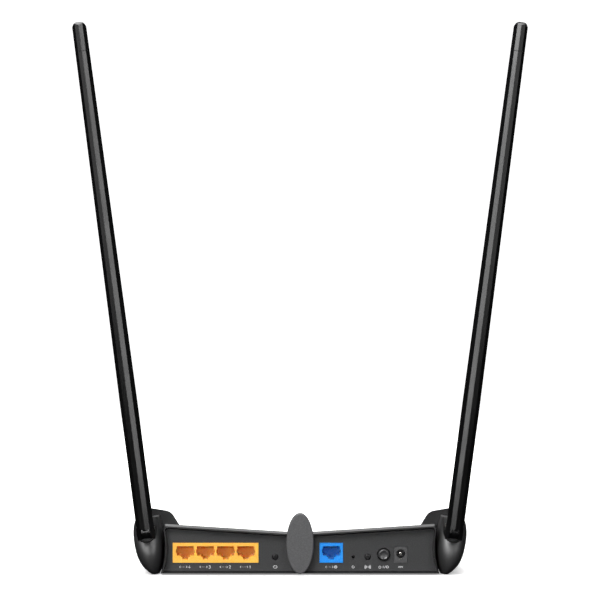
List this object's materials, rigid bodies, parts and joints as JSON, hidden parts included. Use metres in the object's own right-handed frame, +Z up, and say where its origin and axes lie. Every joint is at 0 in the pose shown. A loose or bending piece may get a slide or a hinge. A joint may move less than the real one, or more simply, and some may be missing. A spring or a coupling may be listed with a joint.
{
  "type": "wireless router",
  "caption": "Winged wireless router with recessed connector panel, push buttons and two folding, swivelling antennas.",
  "frame": {"origin": "on the table, under the middle of the router's box with both antennas up", "axes": "+Z up, -Y out of the connector panel, +X to the right seen from behind"},
  "size_m": [0.3118, 0.1576, 0.38],
  "materials": {
    "case_plastic": "fine matte black moulding",
    "panel_plastic": "fine spark-eroded charcoal texture",
    "spine_plastic": "matte grey-black, fine grain",
    "pod_plastic": "satin black with polished rim",
    "antenna_plastic": "satin black",
    "button_plastic": "satin black caps",
    "black_plastic": "moulded black nylon",
    "yellow_plastic": "glossy yellow-orange jack housing",
    "blue_plastic": "glossy blue jack housing",
    "clear_plastic": "frosted light guide",
    "rubber": "soft matte rubber",
    "label": "blank silver-grey label stock",
    "board": "green solder mask",
    "chip_plastic": "epoxy moulding",
    "capacitor_can": "sleeved aluminium can",
    "aluminium": "black-edged extruded aluminium",
    "gold": "gold flash over brass",
    "brass": "plain brass tube",
    "nickel": "nickel plate",
    "dark_nickel": "black nickel plate",
    "steel": "zinc-plated steel",
    "led_plastic": "clear epoxy chip light",
    "cable_plastic": "black jacket"
  },
  "bodies": {
    "case": {"board_screws": "steel", "bottom_case": "case_plastic", "capacitors": "capacitor_can", "case_screws": "steel", "centre_spine": "spine_plastic", "circuit_board": "board", "clock_crystal": "nickel", "dc_centre_pin": "nickel", "dc_jack": "black_plastic", "dc_spring_contact": "nickel", "flash_chip": "chip_plastic", "heat_sink": "aluminium", "lan_contacts": "gold", "lan_jack": "yellow_plastic", "lan_transformer": "chip_plastic", "led_light_guide": "clear_plastic", "left_antenna_jack": "gold", "left_antenna_pod": "pod_plastic", "left_coax_lead": "cable_plastic", "left_coupling_nut": "dark_nickel", "left_jack_nut": "nickel", "left_jack_washer": "nickel", "main_processor": "chip_plastic", "memory_chip": "chip_plastic", "power_inductors": "chip_plastic", "power_switch": "black_plastic", "rating_label": "label", "rear_panel": "panel_plastic", "reset_switch": "black_plastic", "rf_shields": "nickel", "right_antenna_jack": "gold", "right_antenna_pod": "pod_plastic", "right_coax_lead": "cable_plastic", "right_coupling_nut": "dark_nickel", "right_jack_nut": "nickel", "right_jack_washer": "nickel", "rubber_feet": "rubber", "status_leds": "led_plastic", "top_cover": "case_plastic", "wan_contacts": "gold", "wan_jack": "blue_plastic", "wan_transformer": "chip_plastic", "wifi_switch": "black_plastic", "wps_switch": "black_plastic"},
    "left_knuckle": {"left_antenna_knuckle": "antenna_plastic"},
    "left_antenna": {"left_fold_pin": "steel", "left_antenna_sleeve": "antenna_plastic", "left_antenna_tip": "antenna_plastic", "left_radiator": "brass"},
    "right_knuckle": {"right_antenna_knuckle": "antenna_plastic"},
    "right_antenna": {"right_fold_pin": "steel", "right_antenna_sleeve": "antenna_plastic", "right_antenna_tip": "antenna_plastic", "right_radiator": "brass"},
    "wps_button": {"wps_button": "button_plastic"},
    "wifi_button": {"wifi_button": "button_plastic"},
    "power_button": {"power_button": "button_plastic"},
    "reset_plunger": {"reset_plunger": "button_plastic"}
  },
  "joints": [
    {"name": "left_swivel", "type": "hinge", "parent": "case", "child": "left_knuckle", "pos_m": [-0.1056, -0.07325, 0.031], "axis": [0, -1, 0], "range_deg": [-20, 82.5]},
    {"name": "left_fold", "type": "hinge", "parent": "left_knuckle", "child": "left_antenna", "pos_m": [-0.1056, -0.07325, 0.031], "axis": [0.9914, 0, 0.1305], "range_deg": [0, 90]},
    {"name": "right_swivel", "type": "hinge", "parent": "case", "child": "right_knuckle", "pos_m": [0.1056, -0.07325, 0.031], "axis": [0, 1, 0], "range_deg": [-20, 82.5]},
    {"name": "right_fold", "type": "hinge", "parent": "right_knuckle", "child": "right_antenna", "pos_m": [0.1056, -0.07325, 0.031], "axis": [0.9914, 0, -0.1305], "range_deg": [0, 90]},
    {"name": "wps_press", "type": "slide", "parent": "case", "child": "wps_button", "axis": [0, 1, 0], "range_m": [0, 0.0008], "stiffness_N_per_m": 800},
    {"name": "wifi_press", "type": "slide", "parent": "case", "child": "wifi_button", "axis": [0, 1, 0], "range_m": [0, 0.0008], "stiffness_N_per_m": 800},
    {"name": "reset_press", "type": "slide", "parent": "case", "child": "reset_plunger", "axis": [0, 1, 0], "range_m": [0, 0.0006], "stiffness_N_per_m": 800},
    {"name": "power_press", "type": "slide", "parent": "case", "child": "power_button", "axis": [0, 1, 0], "range_m": [0, 0.0018], "stiffness_N_per_m": 700}
  ]
}
